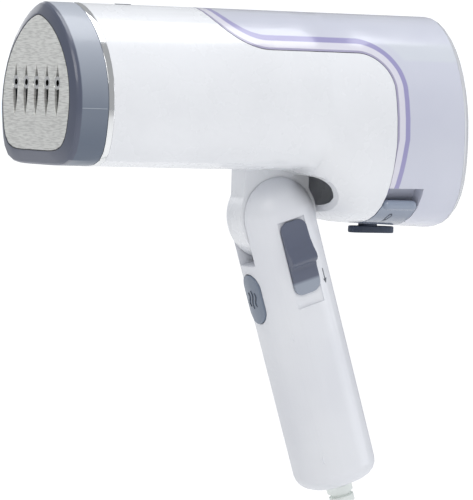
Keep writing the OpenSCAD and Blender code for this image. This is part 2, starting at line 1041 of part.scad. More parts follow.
module cord_clamp() {
  color("ivory")
    on_handle()
      difference() {
        translate([-4.6, -9, -116]) cube([9.2, 18, 8]);
        translate([0, 0, -117]) cylinder(r = cord_d / 2 + 0.05, h = 10, $fn = round_fn);
        for (side = [-1, 1])
          translate([0, side * 6.3, -112]) bar_x(-6, 6, 1.2);
      }
}

// ---- Cord, hanging below the handle ----

cord_exit = [grip_end(handle_long + relief_long)[0], 0, grip_end(handle_long + relief_long)[1]];
coil_x = 22;
coil_z = -175;
coil_thick = 10;
tail_x = coil_x + coil_r + cord_d;
tail_top = -180;
plug_top = -222;

// Place on the handle's axis at a distance below the pivot, as [x, z] in the part's frame
function grip_end(far) = [pivot_x + far * sin(lean), pivot_z - far * cos(lean)];

// Hand-picked route from the strain relief to the coil
lead_route = [cord_exit, [29.5, 0, -91], [32.6, 0, -100], [36, 0, -110], [39.8, 0, -119.5],
  [44, 0, -128.6], [48.4, 0, -136.9], [53.4, 0, -143.6]];

module strain_relief() {
  ribs = 6;
  start = handle_long + 1.2;
  pitch = (relief_long - 4) / ribs;
  color("honeydew")
    on_handle() {
      translate([0, 0, -124.9]) cylinder(r = 7, h = 2, $fn = round_fn);
      translate([0, 0, -123]) cylinder(r = cord_d / 2, h = 17, $fn = round_fn);
      translate([0, 0, -handle_long - 1.2])
        cylinder(r = 4.6, h = handle_long + 1.2 - 124, $fn = round_fn);
      translate([0, 0, -handle_long - relief_long])
        cylinder(r1 = cord_d / 2 + 0.7, r2 = 4.4, h = relief_long - 1, $fn = round_fn);
      for (k = [0:ribs - 1])
        translate([0, 0, -start - (k + 1) * pitch + 1.6])
          cylinder(r = 6 - 0.28 * k, h = pitch - 1.6, $fn = round_fn);
    }
}

module cord_lead() {
  color("gainsboro") swept_tube(smooth_route(lead_route, 2), cord_d, 10);
}

// Outer shape of the tied coil
module cord_coil() {
  color("gainsboro")
    translate([coil_x, 0, coil_z])
      rotate([90, 0, 0])
        rotate_extrude($fn = 96)
          translate([coil_r, 0]) circle(r = coil_thick, $fn = 48);
}

module cord_tail() {
  color("gainsboro")
    swept_tube([[tail_x, 0, tail_top], [tail_x, 0, -192], [tail_x, 0, -204], [tail_x, 0, -213],
      [tail_x, 0, plug_top]], cord_d, 10);
}

// Hook-and-loop band round the top of the coil
module cord_tie() {
  color("dimgray")
    translate([coil_x, 0, coil_z + coil_r])
      ring_x(-7, 7, coil_thick + 2.2, coil_thick + 0.9);
}

// Two-pin plug, hanging with its pins down
module plug_body() {
  color("gainsboro")
    translate([tail_x, 0, plug_top]) {
      translate([0, 0, -16]) cylinder(r1 = 6, r2 = cord_d / 2 + 1, h = 16, $fn = round_fn);
      hull() {
        translate([0, 0, -17])
          for (y = [-5, 5]) translate([0, y, 0]) cylinder(r = 6, h = 1, $fn = 32);
        translate([0, 0, -36])
          for (y = [-11, 11]) translate([0, y, 0]) cylinder(r = 6.5, h = 8, $fn = 32);
      }
    }
}

module plug_pins() {
  color("silver")
    translate([tail_x, 0, plug_top - 36])
      for (y = [-9.5, 9.5])
        translate([0, y, 0]) {
          translate([0, 0, -18]) cylinder(r = 2, h = 18 - hair, $fn = round_fn);
          translate([0, 0, -18]) sphere(r = 2, $fn = round_fn);
        }
}

body_shell_left();
body_shell_right();
front_ring();
nose_cover();
soleplate();
steam_nozzles();
heater_block();
heating_element();
heater_frame();
thermostat();
thermal_fuse();
heater_screws();
steam_pump();
inlet_hose();
outlet_hose();
control_board();
indicator_lens();
tank_spigot();
spigot_seal();
body_screws();
pivot_bush();
tank_shell();
tank_end_cap();
tank_valve_seat();
valve_plunger();
valve_spring();
tank_latch_left();
tank_latch_right();
latch_springs();
filler_plug();
handle_shell_left();
handle_shell_right();
pivot_pin();
ear_bushes();
fold_slider();
lock_pawl();
slider_spring();
steam_button();
button_spring();
micro_switch();
handle_board();
wire_terminal();
handle_wires();
handle_screws();
cord_clamp();
strain_relief();
cord_lead();
cord_coil();
cord_tail();
cord_tie();
plug_body();
plug_pins();
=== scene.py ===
"""Looks of a foldable garment steamer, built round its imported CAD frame.

Everything is in metres in the frame of the part: +Z up, the steam head faces -X, the fold slider is
on the -Y side, and the origin is the middle of the hand grip.
"""

import json
import logging
import math
from dataclasses import dataclass
from enum import Enum
from typing import Callable, Sequence

import bpy
from mathutils import Matrix, Vector

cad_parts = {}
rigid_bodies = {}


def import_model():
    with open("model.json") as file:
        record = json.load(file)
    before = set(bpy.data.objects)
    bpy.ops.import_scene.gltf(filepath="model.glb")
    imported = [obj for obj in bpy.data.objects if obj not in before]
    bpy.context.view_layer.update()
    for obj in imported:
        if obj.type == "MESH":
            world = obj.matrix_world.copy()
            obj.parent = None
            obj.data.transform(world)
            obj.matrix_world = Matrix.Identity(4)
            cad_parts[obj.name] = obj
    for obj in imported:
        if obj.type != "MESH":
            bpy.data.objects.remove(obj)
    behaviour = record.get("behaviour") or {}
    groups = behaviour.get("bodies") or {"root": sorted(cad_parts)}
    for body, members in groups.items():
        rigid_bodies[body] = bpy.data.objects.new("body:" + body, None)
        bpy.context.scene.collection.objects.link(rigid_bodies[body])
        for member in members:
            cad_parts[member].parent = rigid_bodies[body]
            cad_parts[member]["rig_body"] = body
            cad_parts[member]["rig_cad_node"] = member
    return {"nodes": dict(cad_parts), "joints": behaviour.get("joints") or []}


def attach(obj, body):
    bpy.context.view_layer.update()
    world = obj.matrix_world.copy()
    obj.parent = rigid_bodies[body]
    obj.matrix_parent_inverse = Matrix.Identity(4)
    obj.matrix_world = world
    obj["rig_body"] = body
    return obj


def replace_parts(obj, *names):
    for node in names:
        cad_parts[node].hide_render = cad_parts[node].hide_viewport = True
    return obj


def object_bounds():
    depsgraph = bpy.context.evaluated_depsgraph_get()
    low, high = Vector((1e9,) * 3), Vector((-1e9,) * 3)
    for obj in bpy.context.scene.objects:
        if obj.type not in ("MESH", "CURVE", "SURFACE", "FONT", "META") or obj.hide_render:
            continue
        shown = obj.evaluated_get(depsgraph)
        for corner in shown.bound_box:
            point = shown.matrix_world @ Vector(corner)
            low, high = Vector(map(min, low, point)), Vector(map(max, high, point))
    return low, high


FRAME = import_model()
CAD_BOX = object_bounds()
LOG = logging.getLogger("garment_steamer")

MM = 0.001
LEAN = math.radians(18)
Colour = tuple[float, float, float]


def joint_place(name: str) -> Vector:
    """The place of a joint of the part.

    Args:
        name: The joint's name in the record.

    Returns:
        Its place in the part's frame.
    """
    return Vector(next(j["pos_m"] for j in FRAME["joints"] if j["name"] == name))


PIVOT = joint_place("fold")
BARREL_FRAME = Matrix.Translation(PIVOT)
HANDLE_FRAME = BARREL_FRAME @ Matrix.Rotation(-LEAN, 4, "Y")


# ---- Shader graphs ----


class Graph:
    """A node tree with short calls that add nodes and join them."""

    def __init__(self, tree: bpy.types.NodeTree) -> None:
        """Keeps the tree that the nodes go into."""
        self.tree = tree

    def node(self, kind: str, **inputs: object) -> bpy.types.Node:
        """Adds a node and sets or joins its inputs.

        Args:
            kind: The node's type name.
            inputs: Values or sockets by input name, with spaces written as underscores.

        Returns:
            The new node.
        """
        made = self.tree.nodes.new(kind)
        for name, value in inputs.items():
            self.feed(made.inputs[name.replace("_", " ")], value)
        return made

    def feed(self, socket: bpy.types.NodeSocket, value: object) -> None:
        """Joins an output socket to an input, or sets the input's value."""
        if isinstance(value, bpy.types.NodeSocket):
            self.tree.links.new(value, socket)
        else:
            socket.default_value = value

    def math(self, operation: str, *values: object, clamp: bool = False) -> bpy.types.NodeSocket:
        """Adds a Math node.

        Args:
            operation: The node's operation.
            values: Its inputs, in order.
            clamp: Whether the result is kept from 0 to 1.

        Returns:
            The result's socket.
        """
        made = self.tree.nodes.new("ShaderNodeMath")
        made.operation = operation
        made.use_clamp = clamp
        for socket, value in zip(made.inputs, values):
            self.feed(socket, value)
        return made.outputs[0]

    def blend(self, factor: object, first: object, second: object) -> bpy.types.NodeSocket:
        """Mixes two colours by a factor and returns the result's socket."""
        made = self.tree.nodes.new("ShaderNodeMix")
        made.data_type = "RGBA"
        self.feed(made.inputs["Factor"], factor)
        self.feed(made.inputs["A"], first)
        self.feed(made.inputs["B"], second)
        return made.outputs["Result"]

    def ramp(self, value: object, low: float, high: float) -> bpy.types.NodeSocket:
        """Smooth step of a value from 0 at low to 1 at high."""
        made = self.tree.nodes.new("ShaderNodeMapRange")
        made.interpolation_type = "SMOOTHSTEP"
        self.feed(made.inputs["Value"], value)
        made.inputs["From Min"].default_value = low
        made.inputs["From Max"].default_value = high
        return made.outputs["Result"]

    def place(self) -> bpy.types.NodeSocket:
        """The point's own place on the object."""
        return self.node("ShaderNodeTexCoord").outputs["Object"]

    def noise(self, scale: float, detail: float = 3.0, where: object = None) -> bpy.types.NodeSocket:
        """Noise from 0 to 1 at a number of cells to the metre."""
        made = self.node("ShaderNodeTexNoise", Scale=scale, Detail=detail)
        self.feed(made.inputs["Vector"], self.place() if where is None else where)
        return made.outputs["Fac"]

    def bump(self, height: object, depth: float, strength: float = 1.0) -> bpy.types.NodeSocket:
        """Normal of a surface with a height pattern of a depth in metres."""
        made = self.node("ShaderNodeBump", Strength=strength, Distance=depth)
        self.feed(made.inputs["Height"], height)
        return made.outputs["Normal"]


def rgba(colour: Colour) -> tuple[float, float, float, float]:
    """Turns a display colour from 0 to 255 into a linear colour with alpha."""
    parts = [c / 255 for c in colour]
    linear = [p / 12.92 if p <= 0.04045 else ((p + 0.055) / 1.055) ** 2.4 for p in parts]
    return (linear[0], linear[1], linear[2], 1.0)


def group(
    name: str, sockets: Sequence[tuple[str, str, str]], fill: Callable[..., None]
) -> bpy.types.NodeTree:
    """Makes a shader node group once and finds it again after that.

    Args:
        name: The group's name.
        sockets: Name, direction and type of each socket.
        fill: Function that builds the inside from the graph and its input and output nodes.

    Returns:
        The node group.
    """
    found = bpy.data.node_groups.get(name)
    if found is not None:
        return found
    tree = bpy.data.node_groups.new(name, "ShaderNodeTree")
    for label, direction, kind in sockets:
        tree.interface.new_socket(label, in_out=direction, socket_type=kind)
    fill(Graph(tree), tree.nodes.new("NodeGroupInput"), tree.nodes.new("NodeGroupOutput"))
    return tree


def handling_marks() -> bpy.types.NodeTree:
    """Group with the faint mottling and roughness that handling leaves on a moulded surface."""

    def fill(graph: Graph, given: bpy.types.Node, out: bpy.types.Node) -> None:
        """Builds broad mottling, small smudges and fine moulding grain."""
        broad = graph.noise(28, 2)
        smudge = graph.ramp(graph.noise(90, 4), 0.45, 0.75)
        grain = graph.node("ShaderNodeTexNoise", Detail=2.0)
        graph.feed(grain.inputs["Vector"], graph.place())
        graph.feed(grain.inputs["Scale"], given.outputs["Grain Scale"])
        spread = graph.math("MULTIPLY", smudge, given.outputs["Smudge"])
        rough = graph.math("ADD", given.outputs["Roughness"], spread)
        centred = graph.math("SUBTRACT", broad, 0.5)
        graph.feed(out.inputs["Roughness"], graph.math("MULTIPLY_ADD", centred, 0.06, rough))
        graph.feed(out.inputs["Mottling"], broad)
        graph.feed(out.inputs["Grain"], grain.outputs["Fac"])

    value = "NodeSocketFloat"
    return group("handling_marks", [
        ("Roughness", "INPUT", value), ("Smudge", "INPUT", value), ("Grain Scale", "INPUT", value),
        ("Roughness", "OUTPUT", value), ("Mottling", "OUTPUT", value), ("Grain", "OUTPUT", value),
    ], fill)


def brushed_lines() -> bpy.types.NodeTree:
    """Group with the fine straight lines that brushing leaves on a metal sheet."""

    def fill(graph: Graph, given: bpy.types.Node, out: bpy.types.Node) -> None:
        """Stretches noise along the brushing direction."""
        scaled = graph.node("ShaderNodeMapping", Vector=graph.place())
        graph.feed(scaled.inputs["Scale"], given.outputs["Stretch"])
        lines = graph.node("ShaderNodeTexNoise", Scale=1.0, Detail=4.0, Vector=scaled.outputs[0])
        graph.feed(out.inputs["Lines"], lines.outputs["Fac"])
        graph.feed(out.inputs["Roughness"], graph.math(
            "MULTIPLY_ADD", lines.outputs["Fac"], given.outputs["Spread"], given.outputs["Roughness"]))

    value = "NodeSocketFloat"
    return group("brushed_lines", [
        ("Stretch", "INPUT", "NodeSocketVector"), ("Roughness", "INPUT", value), ("Spread", "INPUT", value),
        ("Lines", "OUTPUT", value), ("Roughness", "OUTPUT", value),
    ], fill)


def seam_distance() -> bpy.types.NodeTree:
    """Group with the distance of a point of the tank from the seam between tank and body."""
    swoop = PIVOT + Vector((-19, 0, 100)) * MM
    swoop_r = 26 * MM
    corner = PIVOT + Vector((25.5, 0, 58)) * MM
    corner_r = 16 * MM
    lean_top = PIVOT.z + 36 * MM
    lean_slope = 0.15

    def fill(graph: Graph, given: bpy.types.Node, out: bpy.types.Node) -> None:
        """Joins the arc of the swoop to the level, rounded and leaning stretches."""
        parts = graph.node("ShaderNodeSeparateXYZ", Vector=graph.place())
        x, z = parts.outputs["X"], parts.outputs["Z"]
        below = graph.math("MAXIMUM", graph.math("SUBTRACT", lean_top, z), 0.0)
        upright_x = graph.math("MULTIPLY_ADD", below, lean_slope, x)
        aside = graph.math("MAXIMUM", graph.math("SUBTRACT", upright_x, corner.x), 0.0)
        above = graph.math("MAXIMUM", graph.math("SUBTRACT", z, corner.z), 0.0)
        far = graph.math("SQRT", graph.math("ADD", graph.math("POWER", aside, 2.0),
                                            graph.math("POWER", above, 2.0)))
        outer = graph.math("SUBTRACT", far, corner_r)
        from_x = graph.math("SUBTRACT", x, swoop.x)
        from_z = graph.math("SUBTRACT", z, swoop.z)
        near = graph.math("SQRT", graph.math("ADD", graph.math("MULTIPLY", from_x, from_x),
                                             graph.math("MULTIPLY", from_z, from_z)))
        inner = graph.math("SUBTRACT", swoop_r, near)
        in_swoop = graph.math("LESS_THAN", x, swoop.x)
        rest = graph.math("MULTIPLY", outer, graph.math("SUBTRACT", 1.0, in_swoop))
        graph.feed(out.inputs["Distance"], graph.math("MULTIPLY_ADD", inner, in_swoop, rest))
        graph.feed(out.inputs["Height"], z)

    return group("seam_distance", [
        ("Distance", "OUTPUT", "NodeSocketFloat"), ("Height", "OUTPUT", "NodeSocketFloat"),
    ], fill)


# ---- Finishes ----


@dataclass(frozen=True)
class Finish:
    """A finish of one surface: its name and how it makes its material."""

    name: str

    def shade(self, graph: Graph, surface: bpy.types.Node) -> None:
        """Sets the surface's sockets."""
        raise NotImplementedError

    def material(self) -> bpy.types.Material:
        """Makes the material once and finds it again after that."""
        found = bpy.data.materials.get(self.name)
        if found is not None:
            return found
        made = bpy.data.materials.new(self.name)
        made.use_nodes = True
        graph = Graph(made.node_tree)
        self.shade(graph, made.node_tree.nodes["Principled BSDF"])
        return made


@dataclass(frozen=True)
class Moulded(Finish):
    """Moulded plastic or rubber with handling marks and a fine moulding grain."""

    colour: Colour
    shade_colour: Colour
    roughness: float = 0.3
    smudge: float = 0.08
    grain_scale: float = 3000.0
    grain_depth: float = 0.00002
    coat: float = 0.0
    translucency: float = 0.0
    ior: float = 1.48

    def base(self, graph: Graph, mottling: bpy.types.NodeSocket) -> bpy.types.NodeSocket:
        """The colour pattern, from the mottling alone."""
        return graph.blend(graph.ramp(mottling, 0.3, 0.7), rgba(self.colour), rgba(self.shade_colour))

    def shade(self, graph: Graph, surface: bpy.types.Node) -> None:
        """Sets colour, roughness, coat and grain."""
        marks = graph.tree.nodes.new("ShaderNodeGroup")
        marks.node_tree = handling_marks()
        marks.inputs["Roughness"].default_value = self.roughness
        marks.inputs["Smudge"].default_value = self.smudge
        marks.inputs["Grain Scale"].default_value = self.grain_scale
        graph.feed(surface.inputs["Base Color"], self.base(graph, marks.outputs["Mottling"]))
        graph.feed(surface.inputs["Roughness"], marks.outputs["Roughness"])
        graph.feed(surface.inputs["Normal"], graph.bump(marks.outputs["Grain"], self.grain_depth, 0.5))
        surface.inputs["Coat Weight"].default_value = self.coat
        surface.inputs["Coat Roughness"].default_value = 0.08
        surface.inputs["IOR"].default_value = self.ior
        surface.inputs["Transmission Weight"].default_value = self.translucency


@dataclass(frozen=True)
class PaintedShadeToned(Moulded):
    """Moulded plastic with painted light and shade: its tone changes along one direction, from shade_colour
    to colour.
    """

    along: tuple[float, float, float] = (0.0, 0.0, 1.0)
    start: float = 0.0
    end: float = 0.1

    def base(self, graph: Graph, mottling: bpy.types.NodeSocket) -> bpy.types.NodeSocket:
        """The painted light and shade along the direction, with a little mottling."""
        ahead = graph.node("ShaderNodeVectorMath")
        ahead.operation = "DOT_PRODUCT"
        graph.feed(ahead.inputs[0], graph.place())
        ahead.inputs[1].default_value = self.along
        # Painted light and shade: shade_colour at start, colour at end.
        toned = graph.ramp(ahead.outputs["Value"], self.start, self.end)
        varied = graph.math("MULTIPLY_ADD", graph.math("SUBTRACT", mottling, 0.5), 0.12, toned)
        return graph.blend(varied, rgba(self.shade_colour), rgba(self.colour))


@dataclass(frozen=True)
class NosePlastic(PaintedShadeToned):
    """Plastic with painted shade that lightens towards the top, and a darker lip ahead of one place along
    the barrel.
    """

    lip_colour: Colour = (84, 90, 108)
    lip_at: float = 0.0

    def base(self, graph: Graph, mottling: bpy.types.NodeSocket) -> bpy.types.NodeSocket:
        """The painted shade with height, darkened on the lip."""
        toned = super().base(graph, mottling)
        across = graph.node("ShaderNodeSeparateXYZ", Vector=graph.place()).outputs["X"]
        behind = graph.ramp(across, self.lip_at - 0.4 * MM, self.lip_at + 0.4 * MM)
        return graph.blend(behind, rgba(self.lip_colour), toned)


@dataclass(frozen=True)
class TankPlastic(Moulded):
    """Tinted tank plastic with the pale rim and the darker stripe that follow the seam."""

    rim: Colour = (176, 172, 200)
    pale: Colour = (232, 231, 243)
    stripe: Colour = (166, 162, 206)
    # Pale band high on the arch: a painted reflection of a softbox.
    band: Colour = (224, 230, 236)

    def base(self, graph: Graph, mottling: bpy.types.NodeSocket) -> bpy.types.NodeSocket:
        """The bands along the seam, and the pale band high on the arch, a painted reflection of a softbox.
        """
        seam = graph.tree.nodes.new("ShaderNodeGroup")
        seam.node_tree = seam_distance()
        away, height = seam.outputs["Distance"], seam.outputs["Height"]
        tint = graph.blend(graph.ramp(mottling, 0.25, 0.75), rgba(self.colour), rgba(self.shade_colour))
        # Painted reflection: pale band across the inclined upper flank, kept clear of the seam.
        painted_reflection_mask = graph.math(
            "MULTIPLY",
            graph.ramp(height, PIVOT.z + 70.5 * MM, PIVOT.z + 72.5 * MM),
            graph.math("SUBTRACT", 1.0, graph.ramp(height, PIVOT.z + 78 * MM, PIVOT.z + 81 * MM)),
        )
        behind = graph.ramp(away, 9 * MM, 12 * MM)
        tint = graph.blend(graph.math("MULTIPLY", painted_reflection_mask, graph.math("MULTIPLY", behind, 0.55)),
                           tint, rgba(self.band))
        tone = graph.blend(graph.ramp(away, 6.5 * MM, 6.9 * MM), rgba(self.stripe), tint)
        tone = graph.blend(graph.ramp(away, 4.1 * MM, 4.5 * MM), rgba(self.pale), tone)
        return graph.blend(graph.ramp(away, 1.1 * MM, 1.4 * MM), rgba(self.rim), tone)


@dataclass(frozen=True)
class Metal(Finish):
    """Metal with brushed or cast texture."""

    colour: Colour
    roughness: float = 0.25
    spread: float = 0.15
    stretch: tuple[float, float, float] = (900.0, 900.0, 900.0)
    line_depth: float = 0.00001
    metallic: float = 1.0

    def shade(self, graph: Graph, surface: bpy.types.Node) -> None:
        """Sets colour, metallic reflection and lines."""
        lines = graph.tree.nodes.new("ShaderNodeGroup")
        lines.node_tree = brushed_lines()
        lines.inputs["Stretch"].default_value = self.stretch
        lines.inputs["Roughness"].default_value = self.roughness
        lines.inputs["Spread"].default_value = self.spread
        darker = tuple(c * 0.86 for c in self.colour)
        graph.feed(surface.inputs["Base Color"], graph.blend(
            graph.ramp(lines.outputs["Lines"], 0.35, 0.7), rgba(self.colour), rgba(darker)))
        graph.feed(surface.inputs["Roughness"], lines.outputs["Roughness"])
        graph.feed(surface.inputs["Normal"], graph.bump(lines.outputs["Lines"], self.line_depth, 0.4))
        surface.inputs["Metallic"].default_value = self.metallic


@dataclass(frozen=True)
class Board(Finish):
    """Circuit board: solder mask over copper tracks."""

    mask: Colour = (24, 92, 58)
    track: Colour = (60, 132, 84)

    def shade(self, graph: Graph, surface: bpy.types.Node) -> None:
        """Draws straight tracks with cells of two sizes."""
        cells = graph.node("ShaderNodeTexVoronoi", Scale=260.0, Vector=graph.place())
        cells.distance = "CHEBYCHEV"
        cells.feature = "F2"
        lines = graph.ramp(cells.outputs["Distance"], 0.42, 0.47)
        tone = graph.blend(lines, rgba(self.mask), rgba(self.track))
        graph.feed(surface.inputs["Base Color"], graph.blend(
            graph.ramp(graph.noise(120), 0.4, 0.7), tone, rgba(self.mask)))
        graph.feed(surface.inputs["Normal"], graph.bump(lines, 0.00004, 0.6))
        surface.inputs["Roughness"].default_value = 0.35


@dataclass(frozen=True)
class Woven(Finish):
    """Woven band with crossing threads."""

    colour: Colour
    highlight: Colour

    def shade(self, graph: Graph, surface: bpy.types.Node) -> None:
        """Weaves two wave patterns into threads."""
        waves = []
        for axis in ("X", "DIAGONAL"):
            wave = graph.node("ShaderNodeTexWave", Scale=420.0, Distortion=0.6, Vector=graph.place())
            wave.bands_direction = axis
            waves.append(wave.outputs["Fac"])
        threads = graph.math("MULTIPLY", waves[0], waves[1])
        weave = graph.blend(threads, rgba(self.colour), rgba(self.highlight))
        graph.feed(surface.inputs["Base Color"], weave)
        graph.feed(surface.inputs["Normal"], graph.bump(threads, 0.0003, 0.8))
        surface.inputs["Roughness"].default_value = 0.9
        surface.inputs["Sheen Weight"].default_value = 0.4


DOWN_HANDLE = (math.sin(LEAN), 0.0, -math.cos(LEAN))


class Finishes(Enum):
    """The finishes of the steamer's surfaces."""

    BODY = Moulded("white_body_plastic", (236, 238, 242), (232, 234, 238), 0.26, 0.05, coat=0.35)
    HANDLE = Moulded("white_handle_plastic", (228, 230, 235), (223, 225, 231), 0.34, 0.07, coat=0.15,
                     grain_depth=0.00004)
    # Nose: painted shade by height, dark shade_colour low down and light colour at the top.
    NOSE = NosePlastic("grey_nose_plastic", (178, 184, 195), (92, 103, 120), 0.3, 0.06, coat=0.3,
                       start=PIVOT.z + 26 * MM, end=PIVOT.z + 92 * MM, lip_at=PIVOT.x - 116.4 * MM)
    PLATE = Metal("soleplate_steel", (238, 239, 236), 0.3, 0.06, (200.0, 200.0, 1800.0), 0.000004, 0.5)
    CHROME = Metal("chrome_trim", (232, 234, 238), 0.06, 0.06, (500.0, 500.0, 500.0), 0.000004)
    # Tank: its pale band high on the arch is a painted reflection.
    TANK = TankPlastic("lavender_tank_plastic", (220, 223, 236), (214, 217, 232), 0.16, 0.05,
                       coat=0.5, translucency=0.12)
    END_CAP = Moulded("clear_cap_plastic", (230, 232, 237), (222, 225, 233), 0.14, 0.05, coat=0.5,
                      translucency=0.25)
    # Latch: painted highlight on its upper lip and painted shade below, lighter towards the top.
    LATCH = PaintedShadeToned("latch_plastic", (156, 167, 186), (106, 119, 142), 0.2, 0.05, coat=0.5,
                        start=PIVOT.z - 4 * MM, end=PIVOT.z + 9 * MM, translucency=0.1)
    # Slider: lighter only at its lower end, a painted reflection.
    SLIDER = PaintedShadeToned("slider_plastic", (150, 158, 172), (92, 98, 116), 0.32, 0.08, coat=0.2,
                         along=DOWN_HANDLE, start=-0.0462, end=-0.0442)
    BUTTON = Moulded("button_plastic", (122, 133, 150), (112, 123, 140), 0.3, 0.08, coat=0.25)
    ICON = Moulded("icon_ink", (70, 78, 92), (58, 66, 80), 0.5, 0.05)
    ARROW = Moulded("arrow_ink", (96, 100, 108), (80, 84, 94), 0.5, 0.05)
    GASKET = Moulded("dark_plate_line", (44, 48, 56), (34, 38, 46), 0.6, 0.05)
    # Parting line: a real crease whose light colour is a painted highlight.
    PARTING = Moulded("parting_line_highlight", (168, 176, 186), (150, 158, 170), 0.4, 0.05)
    RELIEF = Moulded("relief_plastic", (210, 216, 214), (200, 206, 204), 0.5, 0.06, 2200.0, 0.00006)
    CORD = Moulded("cord_cover", (225, 229, 228), (212, 217, 217), 0.52, 0.08, 1600.0, 0.00008)
    LENS = Moulded("indicator_lens", (176, 178, 184), (162, 165, 172), 0.12, 0.03, coat=0.6,
                    translucency=0.3)
    FITTING = Moulded("white_fitting", (226, 226, 220), (216, 215, 208), 0.45, 0.06)
    CREAM = Moulded("cream_plastic", (214, 208, 186), (202, 194, 170), 0.5, 0.08)
    BLACK = Moulded("black_plastic", (34, 35, 38), (26, 27, 30), 0.45, 0.08)
    RUBBER = Moulded("grey_rubber", (66, 76, 94), (54, 62, 78), 0.6, 0.1, 1800.0, 0.00006)
    HOSE = Moulded("silicone_hose", (214, 224, 228), (200, 212, 218), 0.35, 0.08, translucency=0.3)
    WIRE = Moulded("wire_cover", (170, 48, 42), (150, 40, 36), 0.45, 0.08)
    SLEEVE = Moulded("fuse_sleeve", (206, 190, 156), (188, 170, 134), 0.8, 0.1, 2600.0, 0.0001)
    # Heater block casting coloured dark so the soleplate slots look black: painted shade inside the slots.
    DARK_CAST = Metal("casting_painted_as_slot_shade", (52, 53, 56), 0.55, 0.25, (700.0, 700.0, 700.0), 0.00005)
    STEEL = Metal("zinc_steel", (186, 188, 190), 0.3, 0.2, (1500.0, 1500.0, 1500.0))
    ELEMENT = Metal("element_steel", (128, 122, 116), 0.4, 0.25, (1200.0, 1200.0, 400.0))
    BRASS = Metal("turned_brass", (206, 172, 98), 0.28, 0.15, (400.0, 3600.0, 400.0))
    BOARD = Board("circuit_board")
    BAND = Woven("hook_band", (52, 54, 60), (92, 95, 104))


# ---- Modelling helpers ----


def only(obj: bpy.types.Object) -> None:
    """Selects one object alone and makes it the active one."""
    bpy.ops.object.select_all(action="DESELECT")
    obj.select_set(True)
    bpy.context.view_layer.objects.active = obj


def dress(obj: bpy.types.Object, finish: Finishes) -> None:
    """Gives an object one finish all over."""
    obj.data.materials.clear()
    obj.data.materials.append(finish.value.material())


def apply_modifier(obj: bpy.types.Object, kind: str, **settings: object) -> None:
    """Adds a modifier with its settings and applies it.

    Args:
        obj: The object to change.
        kind: The modifier's type.
        settings: Values of the modifier's properties.
    """
    only(obj)
    modifier = obj.modifiers.new(kind.lower(), kind)
    for name, value in settings.items():
        setattr(modifier, name, value)
    bpy.ops.object.modifier_apply(modifier=modifier.name)


def settle(obj: bpy.types.Object, name: str, body: str, finish: Finishes) -> bpy.types.Object:
    """Finishes a new piece: place in the mesh, name, finish, slot and body.

    Args:
        obj: The new object.
        name: The piece's name.
        body: The CAD body it rides on.
        finish: Its finish.

    Returns:
        The object.
    """
    only(obj)
    bpy.ops.object.transform_apply(location=True, rotation=True, scale=True)
    obj.name = name
    dress(obj, finish)
    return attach(obj, body)


def refined_copy(
    node: str, finish: Finishes, crease: float = 32.0, rounding: float = 0.0
) -> bpy.types.Object:
    """Copies a CAD node as a merged, smoothly shaded piece that stands for it.

    Args:
        node: The CAD node's name.
        finish: The piece's finish.
        crease: Largest angle between faces, in degrees, that is still shaded as one curved surface.
        rounding: Width in metres of the rounding on its edges.

    Returns:
        The new piece.
    """
    source = FRAME["nodes"][node]
    body = source["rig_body"]
    only(source)
    bpy.ops.object.duplicate()
    piece = bpy.context.view_layer.objects.active
    bpy.ops.object.parent_clear(type="CLEAR_KEEP_TRANSFORM")
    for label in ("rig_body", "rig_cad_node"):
        del piece[label]
    bpy.ops.mesh.customdata_custom_splitnormals_clear()
    bpy.ops.object.mode_set(mode="EDIT")
    bpy.ops.mesh.select_all(action="SELECT")
    bpy.ops.mesh.remove_doubles(threshold=2e-6)
    bpy.ops.mesh.dissolve_limited(angle_limit=math.radians(0.4))
    bpy.ops.object.mode_set(mode="OBJECT")
    if rounding:
        apply_modifier(piece, "BEVEL", width=rounding, segments=2, limit_method="ANGLE",
                       angle_limit=math.radians(38), use_clamp_overlap=True)
    only(piece)
    bpy.ops.object.shade_smooth_by_angle(angle=math.radians(crease))
    apply_modifier(piece, "WEIGHTED_NORMAL", keep_sharp=True, weight=60)
    settle(piece, node + "_skin", body, finish)
    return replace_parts(piece, node)


def tube(name: str, points: Sequence[Vector], radius: float, closed: bool = False) -> bpy.types.Object:
    """Round tube along points, as a curve.

    Args:
        name: The curve's name.
        points: Places along its middle.
        radius: The tube's radius.
        closed: Whether the last point joins the first.

    Returns:
        The curve object.
    """
    data = bpy.data.curves.new(name, "CURVE")
    data.dimensions = "3D"
    data.bevel_depth = radius
    data.bevel_resolution = 5
    data.resolution_u = 4
    data.use_fill_caps = True
    spline = data.splines.new("BEZIER")
    spline.bezier_points.add(len(points) - 1)
    for knot, place in zip(spline.bezier_points, points):
        knot.co = place
        knot.handle_left_type = "AUTO"
        knot.handle_right_type = "AUTO"
    spline.use_cyclic_u = closed
    obj = bpy.data.objects.new(name, data)
    bpy.context.scene.collection.objects.link(obj)
    return obj


Stroke = tuple[Callable[[float], tuple[float, float]], Callable[[float], float], int]


